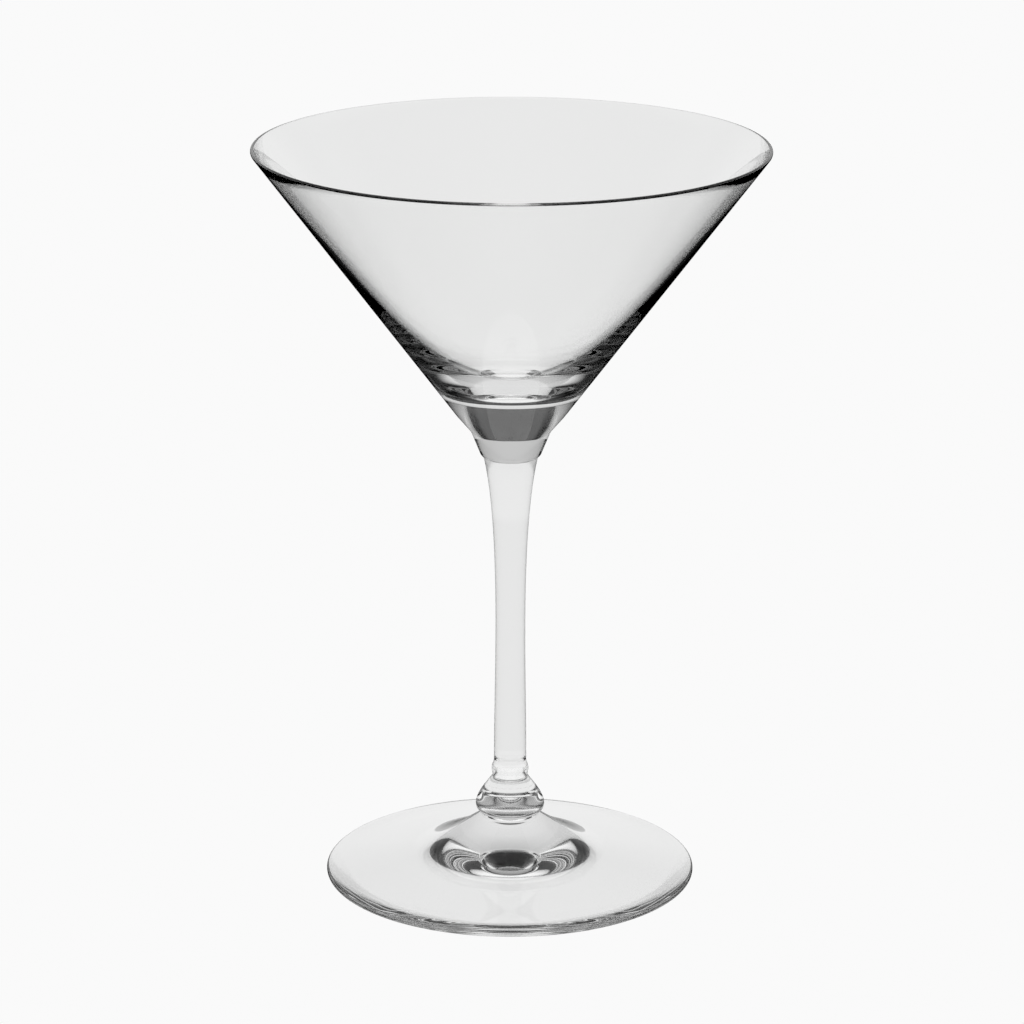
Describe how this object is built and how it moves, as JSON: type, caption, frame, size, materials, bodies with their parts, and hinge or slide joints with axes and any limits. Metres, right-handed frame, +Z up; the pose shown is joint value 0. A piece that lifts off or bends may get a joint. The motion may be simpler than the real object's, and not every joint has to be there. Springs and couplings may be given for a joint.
{
  "type": "martini glass",
  "caption": "Clear stemmed cocktail glass with a wide conical bowl, a slim round stem, a small knop above the base and a round disc foot.",
  "frame": {"origin": "centre of the round foot, on the plane that the glass stands on", "axes": "+Z up along the glass's axis of revolution, from the foot to the rim. The glass is round, so +X and +Y are any two level directions at right angles."},
  "size_m": [0.116, 0.116, 0.1715],
  "materials": {
    "clear_glass": "fire-polished, smooth and clear"
  },
  "bodies": {
    "root": {"bowl": "clear_glass", "stem": "clear_glass", "button": "clear_glass", "foot": "clear_glass"}
  },
  "joints": []
}
